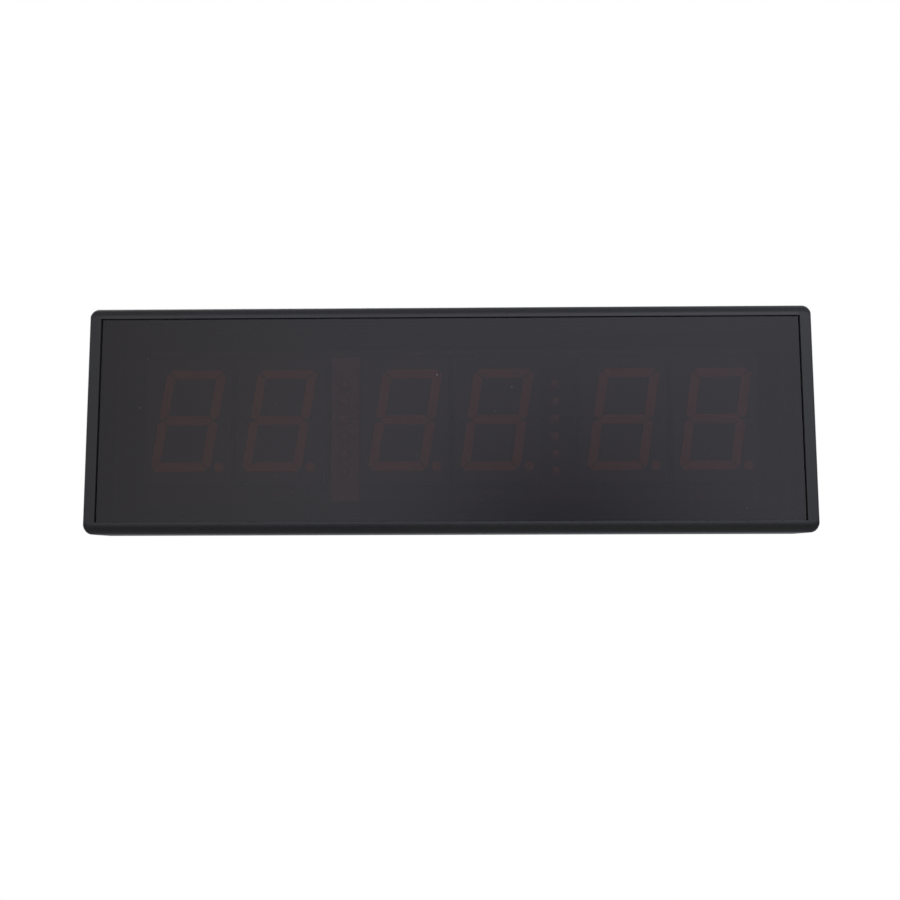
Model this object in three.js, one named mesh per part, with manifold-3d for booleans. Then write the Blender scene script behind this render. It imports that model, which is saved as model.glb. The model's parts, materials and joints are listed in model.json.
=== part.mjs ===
// Six-digit LED round timer for a gym wall or shelf. Two extruded aluminium rails and two
// moulded end caps make the case. They hold a smoked lens at the front and a sheet panel at
// the back, and the panel carries the display board, the control board and the hangers.
//
// Millimetres. X runs across the display, -Y is the front, +Z is up, and the origin is the
// middle of the underside.
import * as THREE from "three";
import { mergeVertices } from "three/addons/utils/BufferGeometryUtils.js";
import Module from "manifold-3d";

const wasm = await Module();
wasm.setup();

// ---------------------------------------------------------------- driving dimensions

const WIDTH = 400;
const DEPTH = 36;
const HEIGHT = 126;
const FRONT = -DEPTH / 2;
const BACK = DEPTH / 2;
const MIDDLE = HEIGHT / 2;

const CAP_WIDTH = 6.4; // an end cap, seen from the front
const RAIL_LENGTH = WIDTH - 2 * CAP_WIDTH;
const GAP = 0.2; // between parts that slide or rest against each other

const RAIL = {
  lip: 6.45, // height of the lips that frame the lens and the back panel
  wall: 2,
  noseDepth: 5, // the rounded front edge, front to back
  noseHeight: 5.6, // and bottom to top
  rearRadius: 2,
  frontLip: 1.3,
  rearLip: 1.5,
  rib: 1.2, // the inner wall of each slot
  ribTop: 5.6,
  slotFloor: 3.6,
};

const LENS = { thickness: 3, slot: 3.4 };
const PANEL = { thickness: 1.5, slot: 2 };
const SHEET_HEIGHT = HEIGHT - 2 * RAIL.slotFloor - 3 * GAP; // lens and back panel
const SHEET_WIDTH = RAIL_LENGTH - 2 * GAP;
const LENS_FRONT = FRONT + RAIL.frontLip + (LENS.slot - LENS.thickness) / 2;
const LENS_REAR = LENS_FRONT + LENS.thickness;
const PANEL_OUTER = BACK - RAIL.rearLip - (PANEL.slot - PANEL.thickness) / 2;
const PANEL_INNER = PANEL_OUTER - PANEL.thickness;

// The round channel that an end-cap screw bites into, carried on a web inside each rail.
const CHANNEL = { y: 1, z: 8.5, bore: 1.45, outer: 3.2, web: 2.4, mouth: 1.5 };

const MODULE = { width: 48, height: 70, depth: 12, face: -12 };
const DISPLAY_SHIFT = 1; // the whole display sits this far to the right of the middle
const DIGIT_PITCH = 50.8;
const PAIR_PITCH = 69.85; // across a separator
const DIGIT = {
  halfWidth: 16.6,
  halfHeight: 28.5,
  stroke: 5.2,
  gap: 0.42,
  chamfer: 3,
  slant: Math.tan(THREE.MathUtils.degToRad(8.5)),
  dotX: 17.4,
  dotZ: -26,
  dotRadius: 2.7,
};
const SEPARATOR = { x: 59, z: 59.4, pitch: 9.8, count: 6, radius: 2.5, strip: 1.2 };
const SEPARATOR_BOARD = { width: 16, height: 82 };

const BOARD = 1.6; // both circuit boards
const DISPLAY_BOARD = { width: 344, height: 87, z: 61.5, front: 0.1 };
const DISPLAY_BOARD_REAR = DISPLAY_BOARD.front + BOARD;
const STANDOFF = { x: 165, z: 38.5, acrossFlats: 5.5, bore: 1.65 };
const CONTROL_BOARD = { x: 86, z: 50, width: 104, height: 60, front: 4.7 };
const CONTROL_REAR = CONTROL_BOARD.front + BOARD;

const HANGER = {
  x: 125,
  z: 92,
  width: 44,
  height: 24,
  thickness: 1.5,
  entryRadius: 4.5,
  entryZ: -4,
  slotWidth: 4.4,
  slotTop: 5,
  window: { width: 18, height: 19 },
};
const JACK = { x: 14, z: 40, barrel: 3.95, bore: 2.95, boreDepth: 9, pin: 1.05 };
const SOUNDER = { x: -24, z: 56, radius: 12, height: 5.5 };
const KEY = { x: [74, 88, 102], z: 54, radius: 2.5, travel: 0.5, proud: 1.15 };
const SWITCH = { x: 124, z: 54, travel: 3, knobWidth: 3.2, knobHeight: 3 };

// ---------------------------------------------------------------- finishes

const finish = (color, roughness, metalness = 0) =>
  new THREE.MeshStandardMaterial({ color, roughness, metalness });
const FINISH = {
  anodised: finish(0x2c2d30, 0.55, 0.35),
  caps: finish(0x303134, 0.6),
  smoked: new THREE.MeshStandardMaterial({
    color: 0x241f20,
    roughness: 0.06,
    transparent: true,
    opacity: 0.85,
  }),
  panel: finish(0x1d1e20, 0.6, 0.2),
  board: finish(0x6f5236, 0.7),
  controlBoard: finish(0x1f4a2c, 0.55),
  housing: finish(0x2b2b2e, 0.6),
  diffuser: finish(0xb98f8c, 0.45),
  led: finish(0xa34a44, 0.3),
  chip: finish(0x17171a, 0.5),
  connector: finish(0xe6e2d6, 0.5),
  steel: finish(0xb4b6ba, 0.35, 1),
  nickel: finish(0xc2c0b8, 0.3, 1),
  blackScrew: finish(0x1c1c1e, 0.4, 0.8),
  knob: finish(0x141416, 0.5),
  key: finish(0x8c8e92, 0.6),
  lead: finish(0x8e2420, 0.6),
};

// ---------------------------------------------------------------- geometry helpers

function toSolid(geometry) {
  const bare = geometry.clone();
  bare.deleteAttribute("normal");
  bare.deleteAttribute("uv");
  const merged = mergeVertices(bare, 1e-4);
  return new wasm.Manifold(
    new wasm.Mesh({
      numProp: 3,
      vertProperties: merged.attributes.position.array,
      triVerts: new Uint32Array(merged.index.array),
    }),
  );
}

function toGeometry(solid) {
  const mesh = solid.getMesh();
  const indexed = new THREE.BufferGeometry();
  indexed.setAttribute("position", new THREE.BufferAttribute(mesh.vertProperties, 3));
  indexed.setIndex(new THREE.BufferAttribute(mesh.triVerts, 1));
  const faceted = indexed.toNonIndexed();
  faceted.computeVertexNormals();
  return faceted;
}

const join = (first, ...others) =>
  toGeometry(others.reduce((sum, next) => sum.add(toSolid(next)), toSolid(first)));
const cut = (body, ...tools) =>
  toGeometry(tools.reduce((rest, tool) => rest.subtract(toSolid(tool)), toSolid(body)));
const common = (a, b) => toGeometry(toSolid(a).intersect(toSolid(b)));

// A box between two corners.
function box([x0, y0, z0], [x1, y1, z1]) {
  const geometry = new THREE.BoxGeometry(x1 - x0, y1 - y0, z1 - z0);
  return geometry.translate((x0 + x1) / 2, (y0 + y1) / 2, (z0 + z1) / 2);
}

// An outline drawn in (y, z), run from x = from to x = to.
function alongX(shape, from, to, curveSegments = 5) {
  const depth = to - from;
  const geometry = new THREE.ExtrudeGeometry(shape, { depth, curveSegments, bevelEnabled: false });
  const basis = new THREE.Matrix4().makeBasis(
    new THREE.Vector3(0, 1, 0),
    new THREE.Vector3(0, 0, 1),
    new THREE.Vector3(1, 0, 0),
  );
  return geometry.applyMatrix4(basis).translate(from, 0, 0);
}

// An outline drawn in (x, z), run from y = from at the front to y = to at the back.
function alongY(shape, from, to, curveSegments = 5) {
  const depth = to - from;
  const geometry = new THREE.ExtrudeGeometry(shape, { depth, curveSegments, bevelEnabled: false });
  return geometry.rotateX(Math.PI / 2).translate(0, to, 0);
}

// A rod along Y from the front to the back.
function rodY(radius, x, z, from, to, sides = 16) {
  const geometry = new THREE.CylinderGeometry(radius, radius, to - from, sides);
  return geometry.translate(x, (from + to) / 2, z);
}

// A turned part whose axis is Y: profile holds [radius, y] from the axis back to the axis.
function turned(profile, sides = 12) {
  return new THREE.LatheGeometry(
    profile.map(([radius, y]) => new THREE.Vector2(radius, y)),
    sides,
  );
}

function outline(points) {
  return new THREE.Shape(points.map(([a, b]) => new THREE.Vector2(a, b)));
}

const timer = new THREE.Group();

function place(name, geometry, material, position = [0, 0, 0], parent = timer) {
  const mesh = new THREE.Mesh(geometry, material);
  mesh.name = name;
  mesh.position.set(...position);
  parent.add(mesh);
  return mesh;
}

// ---------------------------------------------------------------- case rails

// The rail's section in (y, z), as it lies along the bottom of the case.
function railSection() {
  const { lip, wall, noseDepth, noseHeight, rearRadius, rib, ribTop, slotFloor } = RAIL;
  const lensSlot = FRONT + RAIL.frontLip;
  const lensRib = lensSlot + LENS.slot;
  const panelSlot = BACK - RAIL.rearLip;
  const panelRib = panelSlot - PANEL.slot;
  const { y, z, bore, outer, web, mouth } = CHANNEL;
  const webMeets = Math.asin(web / 2 / outer);
  const outerMouth = Math.asin(mouth / 2 / outer);
  const boreMouth = Math.asin(mouth / 2 / bore);
  const up = Math.PI / 2;

  const s = new THREE.Shape();
  s.moveTo(FRONT + noseDepth, 0);
  s.lineTo(BACK - rearRadius, 0);
  s.absarc(BACK - rearRadius, rearRadius, rearRadius, -up, 0);
  s.lineTo(BACK, lip);
  s.lineTo(panelSlot, lip);
  s.lineTo(panelSlot, slotFloor);
  s.lineTo(panelRib, slotFloor);
  s.lineTo(panelRib, ribTop);
  s.lineTo(panelRib - rib, ribTop);
  s.lineTo(panelRib - rib, wall);
  s.lineTo(y + web / 2, wall);
  s.absarc(y, z, outer, -up + webMeets, up - outerMouth);
  s.absarc(y, z, bore, up - boreMouth, up + boreMouth, true);
  s.absarc(y, z, outer, up + outerMouth, 3 * up - webMeets);
  s.lineTo(y - web / 2, wall);
  s.lineTo(lensRib + rib, wall);
  s.lineTo(lensRib + rib, ribTop);
  s.lineTo(lensRib, ribTop);
  s.lineTo(lensRib, slotFloor);
  s.lineTo(lensSlot, slotFloor);
  s.lineTo(lensSlot, lip);
  s.lineTo(FRONT, lip);
  s.lineTo(FRONT, noseHeight);
  s.absellipse(FRONT + noseDepth, noseHeight, noseDepth, noseHeight, 2 * up, 3 * up);
  return s;
}

const rail = alongX(railSection(), -RAIL_LENGTH / 2, RAIL_LENGTH / 2);
place("bottom_rail", rail, FINISH.anodised);
const topRail = place("top_rail", rail, FINISH.anodised, [0, 0, HEIGHT]);
topRail.rotation.y = Math.PI; // the same extrusion, turned over

// ---------------------------------------------------------------- end caps

// The closed outline of the whole case in (y, z).
function caseSection() {
  const { noseDepth, noseHeight, rearRadius } = RAIL;
  const up = Math.PI / 2;
  const s = new THREE.Shape();
  s.moveTo(FRONT + noseDepth, 0);
  s.lineTo(BACK - rearRadius, 0);
  s.absarc(BACK - rearRadius, rearRadius, rearRadius, -up, 0);
  s.absarc(BACK - rearRadius, HEIGHT - rearRadius, rearRadius, 0, up);
  s.absellipse(FRONT + noseDepth, HEIGHT - noseHeight, noseDepth, noseHeight, up, 2 * up);
  s.absellipse(FRONT + noseDepth, noseHeight, noseDepth, noseHeight, 2 * up, 3 * up);
  return s;
}

// The right-hand cap's outline in (x, z), from its inner face on x = 0.
function capFront() {
  const corner = { x: 4, z: 3.5 };
  const up = Math.PI / 2;
  const s = new THREE.Shape();
  s.moveTo(0, 0);
  s.absellipse(CAP_WIDTH - corner.x, corner.z, corner.x, corner.z, -up, 0);
  s.absellipse(CAP_WIDTH - corner.x, HEIGHT - corner.z, corner.x, corner.z, 0, up);
  s.lineTo(0, HEIGHT);
  return s;
}

const SCREW = { head: 3, headDepth: 1.7, shank: 1.25, length: 14 };

// A countersunk screw whose head lies on y = 0 and whose shank runs towards -Y.
function countersunkScrew({ head, headDepth, shank, length }) {
  const body = turned([
    [0, -length],
    [shank * 0.5, -length],
    [shank, -length + shank],
    [shank, -headDepth],
    [head, -0.25],
    [head, 0],
    [0, 0],
  ]);
  const slot = head * 1.1;
  const blade = 0.35;
  const recess = 0.8;
  return cut(
    body,
    box([-slot / 2, -recess, -blade], [slot / 2, 1, blade]),
    box([-blade, -recess, -slot / 2], [blade, 1, slot / 2]),
  );
}

// The hole that a countersunk screw needs, with the same axis and origin.
function countersunkHole({ head, headDepth, shank }, through) {
  const play = 0.35;
  return turned([
    [0, -through],
    [shank + play, -through],
    [shank + play, -headDepth],
    [head + play / 2, -play],
    [head + play / 2, 1],
    [0, 1],
  ]);
}

function endCap() {
  const wall = 2.2;
  const tongue = { reach: 4, thickness: 1.6, from: 14 };
  const pocket = { front: -9, back: 11, from: 16 };
  const blank = common(
    alongX(caseSection(), 0, CAP_WIDTH),
    alongY(capFront(), FRONT - 1, BACK + 1),
  );
  const tongueAt = (y) =>
    box([-tongue.reach, y, tongue.from], [1, y + tongue.thickness, HEIGHT - tongue.from]);
  const withTongues = join(
    blank,
    tongueAt(LENS_REAR + GAP),
    tongueAt(PANEL_INNER - GAP - tongue.thickness),
  );
  const screwHole = (z) =>
    countersunkHole(SCREW, CAP_WIDTH + 1)
      .rotateZ(-Math.PI / 2)
      .translate(CAP_WIDTH, CHANNEL.y, z);
  return cut(
    withTongues,
    box([-1, pocket.front, pocket.from], [CAP_WIDTH - wall, pocket.back, HEIGHT - pocket.from]),
    screwHole(CHANNEL.z),
    screwHole(HEIGHT - CHANNEL.z),
  );
}

const cap = endCap();
place("right_end_cap", cap, FINISH.caps, [RAIL_LENGTH / 2, 0, 0]);
const leftCap = place("left_end_cap", cap, FINISH.caps, [-RAIL_LENGTH / 2, 0, HEIGHT]);
leftCap.rotation.y = Math.PI; // the same moulding, turned over

const capScrew = countersunkScrew(SCREW);
const screwLevels = { lower: CHANNEL.z, upper: HEIGHT - CHANNEL.z };
for (const [level, z] of Object.entries(screwLevels)) {
  const screwFace = WIDTH / 2 - 0.1;
  const right = place(`right_cap_screw_${level}`, capScrew, FINISH.blackScrew, [
    screwFace,
    CHANNEL.y,
    z,
  ]);
  right.rotation.z = -Math.PI / 2;
  const left = place(`left_cap_screw_${level}`, capScrew, FINISH.blackScrew, [
    -screwFace,
    CHANNEL.y,
    z,
  ]);
  left.rotation.z = Math.PI / 2;
}

// ---------------------------------------------------------------- lens

place(
  "front_lens",
  box(
    [-SHEET_WIDTH / 2, LENS_FRONT, MIDDLE - SHEET_HEIGHT / 2],
    [SHEET_WIDTH / 2, LENS_REAR, MIDDLE + SHEET_HEIGHT / 2],
  ),
  FINISH.smoked,
);

// ---------------------------------------------------------------- digit modules

// The outlines of the seven bars and the dot in (x, z), grown by `grow` all round.
function digitOutlines(grow) {
  const w = DIGIT.halfWidth + grow;
  const h = DIGIT.halfHeight + grow;
  const t = DIGIT.stroke + 2 * grow;
  const k = DIGIT.gap - grow * Math.SQRT2;
  const c = DIGIT.chamfer;
  const iw = w - t; // inner edge of the uprights
  const ih = h - t; // inner edge of the top bar
  const half = t / 2;
  const tip = half - 1; // how far an upright's outer corner stops above the middle
  const top = [
    [-w + c, h],
    [-w + (c + k) / 2, h - (c - k) / 2],
    [-iw + k, ih],
    [iw - k, ih],
    [w - (c + k) / 2, h - (c - k) / 2],
    [w - c, h],
  ];
  const upperRight = [
    [w, h - c],
    [w - (c - k) / 2, h - (c + k) / 2],
    [iw, ih - k],
    [iw, half + k],
    [w - half, k],
    [w, tip + k],
  ];
  const middle = [
    [-w + half + k, 0],
    [-iw + k, -half],
    [iw - k, -half],
    [w - half - k, 0],
    [iw - k, half],
    [-iw + k, half],
  ];
  const mirrored = (points, sx, sz) => {
    const turnedOver = points.map(([x, z]) => [sx * x, sz * z]);
    return sx * sz < 0 ? turnedOver.reverse() : turnedOver;
  };
  const bars = [
    top,
    mirrored(top, 1, -1),
    middle,
    upperRight,
    mirrored(upperRight, -1, 1),
    mirrored(upperRight, 1, -1),
    mirrored(upperRight, -1, -1),
  ].map((points) => outline(points.map(([x, z]) => [x + z * DIGIT.slant, z])));
  const dot = new THREE.Shape().absarc(
    DIGIT.dotX,
    DIGIT.dotZ,
    DIGIT.dotRadius + grow,
    0,
    2 * Math.PI,
  );
  return [...bars, dot];
}

const FILL = { thickness: 1.4, inset: 1 }; // the resin slab behind a module's windows

function digitHousing() {
  const { width, height, depth } = MODULE;
  const windows = digitOutlines(0.15).map((s) => alongY(s, -1, depth + 1, 8));
  const pocketDepth = FILL.thickness + GAP;
  return cut(
    box([-width / 2, 0, -height / 2], [width / 2, depth, height / 2]),
    ...windows,
    box(
      [-width / 2 + FILL.inset, depth - pocketDepth, -height / 2 + FILL.inset],
      [width / 2 - FILL.inset, depth + 1, height / 2 - FILL.inset],
    ),
  );
}

function digitSegments() {
  const { width, height, depth } = MODULE;
  const inset = FILL.inset + GAP;
  const flush = 0.15; // the resin stops just under the module's face
  const bars = digitOutlines(0).map((s) => alongY(s, flush, depth - FILL.thickness / 2, 8));
  return join(
    box(
      [-width / 2 + inset, depth - FILL.thickness, -height / 2 + inset],
      [width / 2 - inset, depth, height / 2 - inset],
    ),
    ...bars,
  );
}

const housing = digitHousing();
const segments = digitSegments();
const rightHalf = [DIGIT_PITCH / 2, DIGIT_PITCH / 2 + PAIR_PITCH, DIGIT_PITCH * 1.5 + PAIR_PITCH];
const digitCentres = [...rightHalf.map((x) => -x).reverse(), ...rightHalf];
digitCentres.forEach((x, i) => {
  const digit = new THREE.Group();
  digit.position.set(x + DISPLAY_SHIFT, MODULE.face, MIDDLE);
  timer.add(digit);
  place(`digit_housing_${i + 1}`, housing, FINISH.housing, [0, 0, 0], digit);
  place(`digit_segments_${i + 1}`, segments, FINISH.diffuser, [0, 0, 0], digit);
});

// ---------------------------------------------------------------- display board

const standoffCentres = [-1, 1].flatMap((sx) =>
  [-1, 1].map((sz) => [DISPLAY_SHIFT + sx * STANDOFF.x, DISPLAY_BOARD.z + sz * STANDOFF.z]),
);

const { width: boardWidth, height: boardHeight, z: boardZ } = DISPLAY_BOARD;
place(
  "display_board",
  box(
    [DISPLAY_SHIFT - boardWidth / 2, DISPLAY_BOARD.front, boardZ - boardHeight / 2],
    [DISPLAY_SHIFT + boardWidth / 2, DISPLAY_BOARD_REAR, boardZ + boardHeight / 2],
  ),
  FINISH.board,
);

// Six round LEDs on one narrow strip of board, for the dots between two pairs of digits.
function separatorLeds() {
  const { pitch, count, radius, strip } = SEPARATOR;
  const { width, height } = SEPARATOR_BOARD;
  const reach = ((count - 1) * pitch) / 2;
  const bar = box([-width / 2, -strip, -height / 2], [width / 2, 0, height / 2]);
  const dome = 8.5; // lens tip above the board
  const leds = [];
  for (let i = 0; i < count; i++) {
    const led = turned(
      [
        [0, strip / 2],
        [radius, strip / 2],
        [radius, dome - radius],
        [radius * 0.87, dome - radius / 2],
        [radius * 0.5, dome - radius * 0.13],
        [0, dome],
      ],
      10,
    );
    leds.push(led.rotateX(Math.PI).translate(0, 0, i * pitch - reach));
  }
  return join(bar, ...leds);
}

const leds = separatorLeds();
for (const [side, sign] of Object.entries({ left: -1, right: 1 })) {
  place(`separator_leds_${side}`, leds, FINISH.led, [sign * SEPARATOR.x, 0, SEPARATOR.z]);
}

// The infrared receiver stands on the display board's lower margin, facing the lens.
function irReceiver() {
  const size = { x: 6, y: 3.6, z: 7 };
  const eye = new THREE.SphereGeometry(2.2, 12, 8).translate(0, -size.y, 0.6);
  return join(box([-size.x / 2, -size.y, -size.z / 2], [size.x / 2, 0, size.z / 2]), eye);
}

place("ir_receiver", irReceiver(), FINISH.chip, [140, 0, 22.5]);

// ---------------------------------------------------------------- standoffs

// A hexagonal pillar soldered to the rear of the display board, bored for a panel screw.
function standoff() {
  const radius = STANDOFF.acrossFlats / Math.sqrt(3);
  const from = DISPLAY_BOARD_REAR + 0.05;
  const to = PANEL_INNER - 0.1;
  return cut(
    rodY(radius, 0, 0, from, to, 6),
    rodY(STANDOFF.bore, 0, 0, to - 7, to + 1, 12),
  );
}

const PANEL_SCREW = { head: 2.7, headDepth: 1.3, shank: 1.4, length: 7 };
const pillar = standoff();
const panelScrew = countersunkScrew(PANEL_SCREW);
standoffCentres.forEach(([x, z], i) => {
  place(`standoff_${i + 1}`, pillar, FINISH.nickel, [x, 0, z]);
  place(`panel_screw_${i + 1}`, panelScrew, FINISH.blackScrew, [x, PANEL_OUTER - 0.05, z]);
});

// ---------------------------------------------------------------- back panel

const SWITCH_SLOT = SWITCH.knobWidth + SWITCH.travel + 1;
const SOUND_HOLE = 1.1;

function soundHoles() {
  const holes = [rodY(SOUND_HOLE, SOUNDER.x, SOUNDER.z, PANEL_INNER - 1, BACK, 8)];
  const ring = 6;
  for (let i = 0; i < ring; i++) {
    const angle = (i / ring) * 2 * Math.PI;
    const x = SOUNDER.x + 5 * Math.cos(angle);
    const z = SOUNDER.z + 5 * Math.sin(angle);
    holes.push(rodY(SOUND_HOLE, x, z, PANEL_INNER - 1, BACK, 8));
  }
  return holes;
}

function backPanel() {
  const { window } = HANGER;
  const sheet = box(
    [-SHEET_WIDTH / 2, PANEL_INNER, MIDDLE - SHEET_HEIGHT / 2],
    [SHEET_WIDTH / 2, PANEL_OUTER, MIDDLE + SHEET_HEIGHT / 2],
  );
  const hangerWindow = (x) =>
    box(
      [x - window.width / 2, 0, HANGER.z - window.height / 2],
      [x + window.width / 2, BACK, HANGER.z + window.height / 2],
    );
  const screwHoles = standoffCentres.map(([x, z]) =>
    countersunkHole(PANEL_SCREW, 4).translate(x, PANEL_OUTER, z),
  );
  const keyHoles = KEY.x.map((x) => rodY(KEY.radius + 0.3, x, KEY.z, 0, BACK, 16));
  const switchSlot = box(
    [SWITCH.x - SWITCH_SLOT / 2, 0, SWITCH.z - SWITCH.knobHeight / 2 - 0.5],
    [SWITCH.x + SWITCH_SLOT / 2, BACK, SWITCH.z + SWITCH.knobHeight / 2 + 0.5],
  );
  return cut(
    sheet,
    hangerWindow(-HANGER.x),
    hangerWindow(HANGER.x),
    ...screwHoles,
    ...keyHoles,
    switchSlot,
    rodY(JACK.barrel + 0.2, JACK.x, JACK.z, 0, BACK, 20),
    ...soundHoles(),
  );
}

place("back_panel", backPanel(), FINISH.panel);

// A steel plate with a keyhole, fixed over each window in the back panel.
function hanger() {
  const { width, height, thickness, entryRadius, entryZ, slotWidth, slotTop } = HANGER;
  const corner = 2;
  const w = width / 2 - corner;
  const h = height / 2 - corner;
  const up = Math.PI / 2;
  const plate = new THREE.Shape();
  plate.absarc(w, -h, corner, -up, 0);
  plate.absarc(w, h, corner, 0, up);
  plate.absarc(-w, h, corner, up, 2 * up);
  plate.absarc(-w, -h, corner, 2 * up, 3 * up);
  const half = slotWidth / 2;
  const meets = Math.asin(half / entryRadius);
  const keyhole = new THREE.Path();
  keyhole.absarc(0, slotTop - half, half, 0, 2 * up);
  keyhole.absarc(0, entryZ, entryRadius, up + meets, 5 * up - meets);
  plate.holes.push(keyhole);
  return alongY(plate, 0, thickness, 6);
}

const keyholePlate = hanger();
for (const [side, sign] of Object.entries({ left: -1, right: 1 })) {
  place(`hanger_${side}`, keyholePlate, FINISH.steel, [
    sign * HANGER.x,
    PANEL_OUTER + 0.1,
    HANGER.z,
  ]);
}

// ---------------------------------------------------------------- power inlet

const JACK_MOUTH = BACK - 0.2;

// A panel jack in the back: a threaded barrel, and a round body behind the panel.
function dcJack() {
  const shoulder = PANEL_INNER - 0.1;
  const floor = JACK_MOUTH - JACK.boreDepth;
  const shell = join(
    rodY(JACK.barrel, 0, 0, shoulder - 2, JACK_MOUTH, 16),
    rodY(5.2, 0, 0, floor - 3, shoulder, 16),
  );
  return cut(
    shell,
    rodY(JACK.bore, 0, 0, floor, BACK, 16),
    rodY(JACK.pin + 0.2, 0, 0, floor - 4, floor + 1, 10),
  );
}

// The jack's centre pin, whose tip stops inside the barrel and whose tail comes out behind.
function jackPin() {
  const tip = JACK_MOUTH - 1.5;
  return turned(
    [
      [0, JACK_MOUTH - JACK.boreDepth - 4],
      [JACK.pin, JACK_MOUTH - JACK.boreDepth - 4],
      [JACK.pin, tip - 0.5],
      [JACK.pin * 0.5, tip],
      [0, tip],
    ],
    10,
  );
}

function jackNut() {
  const acrossFlats = 10;
  const from = PANEL_OUTER + 0.1;
  const to = from + 1.3;
  return cut(
    rodY(acrossFlats / Math.sqrt(3), 0, 0, from, to, 6),
    rodY(JACK.barrel + 0.15, 0, 0, from - 1, to + 1, 20),
  );
}

place("dc_jack", dcJack(), FINISH.chip, [JACK.x, 0, JACK.z]);
place("dc_jack_pin", jackPin(), FINISH.nickel, [JACK.x, 0, JACK.z]);
place("dc_jack_nut", jackNut(), FINISH.nickel, [JACK.x, 0, JACK.z]);

// ---------------------------------------------------------------- control board

const onBoard = (x, z, width, height, from, to) =>
  box([x - width / 2, from, z - height / 2], [x + width / 2, to, z + height / 2]);

const control = CONTROL_BOARD;
const boardRear = CONTROL_REAR + 0.05;
place(
  "control_board",
  onBoard(control.x, control.z, control.width, control.height, control.front, CONTROL_REAR),
  FINISH.controlBoard,
);
for (const [level, z] of Object.entries({ lower: 24, upper: 76 })) {
  place(
    `board_header_${level}`,
    onBoard(control.x, z, 50, 5, DISPLAY_BOARD_REAR + 0.1, control.front - 0.05),
    FINISH.chip,
  );
}
place("microcontroller", onBoard(62, 70, 10, 10, boardRear, boardRear + 1.6), FINISH.chip);
place("led_driver_1", onBoard(84, 70, 12, 7.5, boardRear, boardRear + 2), FINISH.chip);
place("led_driver_2", onBoard(104, 70, 12, 7.5, boardRear, boardRear + 2), FINISH.chip);
place("power_socket", onBoard(42, 36, 8, 6, boardRear, boardRear + 5.5), FINISH.connector);
place("sounder_socket", onBoard(42, 58, 8, 6, boardRear, boardRear + 5.5), FINISH.connector);

// The cell that keeps the clock running, lying in an open-topped holder.
const CELL = { x: 104, z: 32, radius: 6.25, thickness: 2 };
const holderFloor = boardRear + 0.8;
place(
  "clock_cell_holder",
  cut(
    onBoard(CELL.x, CELL.z, 16, 16, boardRear, holderFloor + CELL.thickness + 0.6),
    rodY(CELL.radius + GAP, CELL.x, CELL.z, holderFloor, BACK, 24),
  ),
  FINISH.chip,
);
place(
  "clock_cell",
  rodY(CELL.radius, CELL.x, CELL.z, holderFloor + 0.1, holderFloor + 0.1 + CELL.thickness, 24),
  FINISH.nickel,
);

// ---------------------------------------------------------------- sounder

function sounder() {
  const { radius, height } = SOUNDER;
  const to = PANEL_INNER - GAP;
  const can = rodY(radius, 0, 0, to - height, to, 28);
  return cut(can, rodY(2, 0, 0, to - 2, to + 1, 14));
}

place("sounder", sounder(), FINISH.chip, [SOUNDER.x, 0, SOUNDER.z]);

// ---------------------------------------------------------------- internal leads

function lead(points, radius, steps) {
  const path = new THREE.CatmullRomCurve3(points.map((p) => new THREE.Vector3(...p)));
  const section = new THREE.Shape().absarc(0, 0, radius, 0, 2 * Math.PI);
  return new THREE.ExtrudeGeometry(section, { extrudePath: path, steps, curveSegments: 4 });
}

place(
  "power_lead",
  lead(
    [
      [19.6, 8.6, 40],
      [23, 8.6, 40.2],
      [28, 9.6, 39.2],
      [33, 9.8, 36.6],
      [37.6, 9.4, 36],
    ],
    1.1,
    16,
  ),
  FINISH.lead,
);
place(
  "sounder_lead",
  lead(
    [
      [-11.6, 11.5, 56],
      [-5, 11.5, 55.4],
      [8, 10.5, 58],
      [24, 10.2, 60.4],
      [37.6, 9.4, 58],
    ],
    0.9,
    20,
  ),
  FINISH.lead,
);

// ---------------------------------------------------------------- keys and power switch

const KEY_SWITCH = { size: 6.2, height: 3.5, well: 1.2 };
const keySwitchTop = boardRear + KEY_SWITCH.height;

function keySwitch() {
  const half = KEY_SWITCH.size / 2;
  return cut(
    box([-half, boardRear, -half], [half, keySwitchTop, half]),
    rodY(2.1, 0, 0, keySwitchTop - KEY_SWITCH.well, keySwitchTop + 1, 16),
  );
}

// A push key: a round cap through the panel, a flange that keeps it in, and a plunger.
function pushKey() {
  const foot = keySwitchTop - KEY_SWITCH.well + KEY.travel + 0.1;
  const flange = PANEL_INNER - 0.5;
  const crown = PANEL_OUTER + KEY.proud;
  return turned(
    [
      [0, foot],
      [1.7, foot],
      [1.7, flange - 1.2],
      [3.5, flange - 1.2],
      [3.5, flange],
      [KEY.radius, flange],
      [KEY.radius, crown - 0.5],
      [KEY.radius - 0.4, crown],
      [0, crown],
    ],
    16,
  );
}

const tactSwitch = keySwitch();
const key = pushKey();
KEY.x.forEach((x, i) => {
  place(`key_switch_${i + 1}`, tactSwitch, FINISH.chip, [x, 0, KEY.z]);
  place(`set_key_${i + 1}`, key, FINISH.key, [x, 0, KEY.z]);
});

const SWITCH_BODY = { width: 12.6, height: 6.6, depth: 4.5, well: 1.2 };
const switchTop = boardRear + SWITCH_BODY.depth;
const knobFoot = switchTop - SWITCH_BODY.well + GAP;

place(
  "power_switch_body",
  cut(
    onBoard(SWITCH.x, SWITCH.z, SWITCH_BODY.width, SWITCH_BODY.height, boardRear, switchTop),
    onBoard(
      SWITCH.x,
      SWITCH.z,
      SWITCH_SLOT,
      SWITCH.knobHeight + 0.6,
      switchTop - SWITCH_BODY.well,
      switchTop + 1,
    ),
  ),
  FINISH.steel,
);

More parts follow.
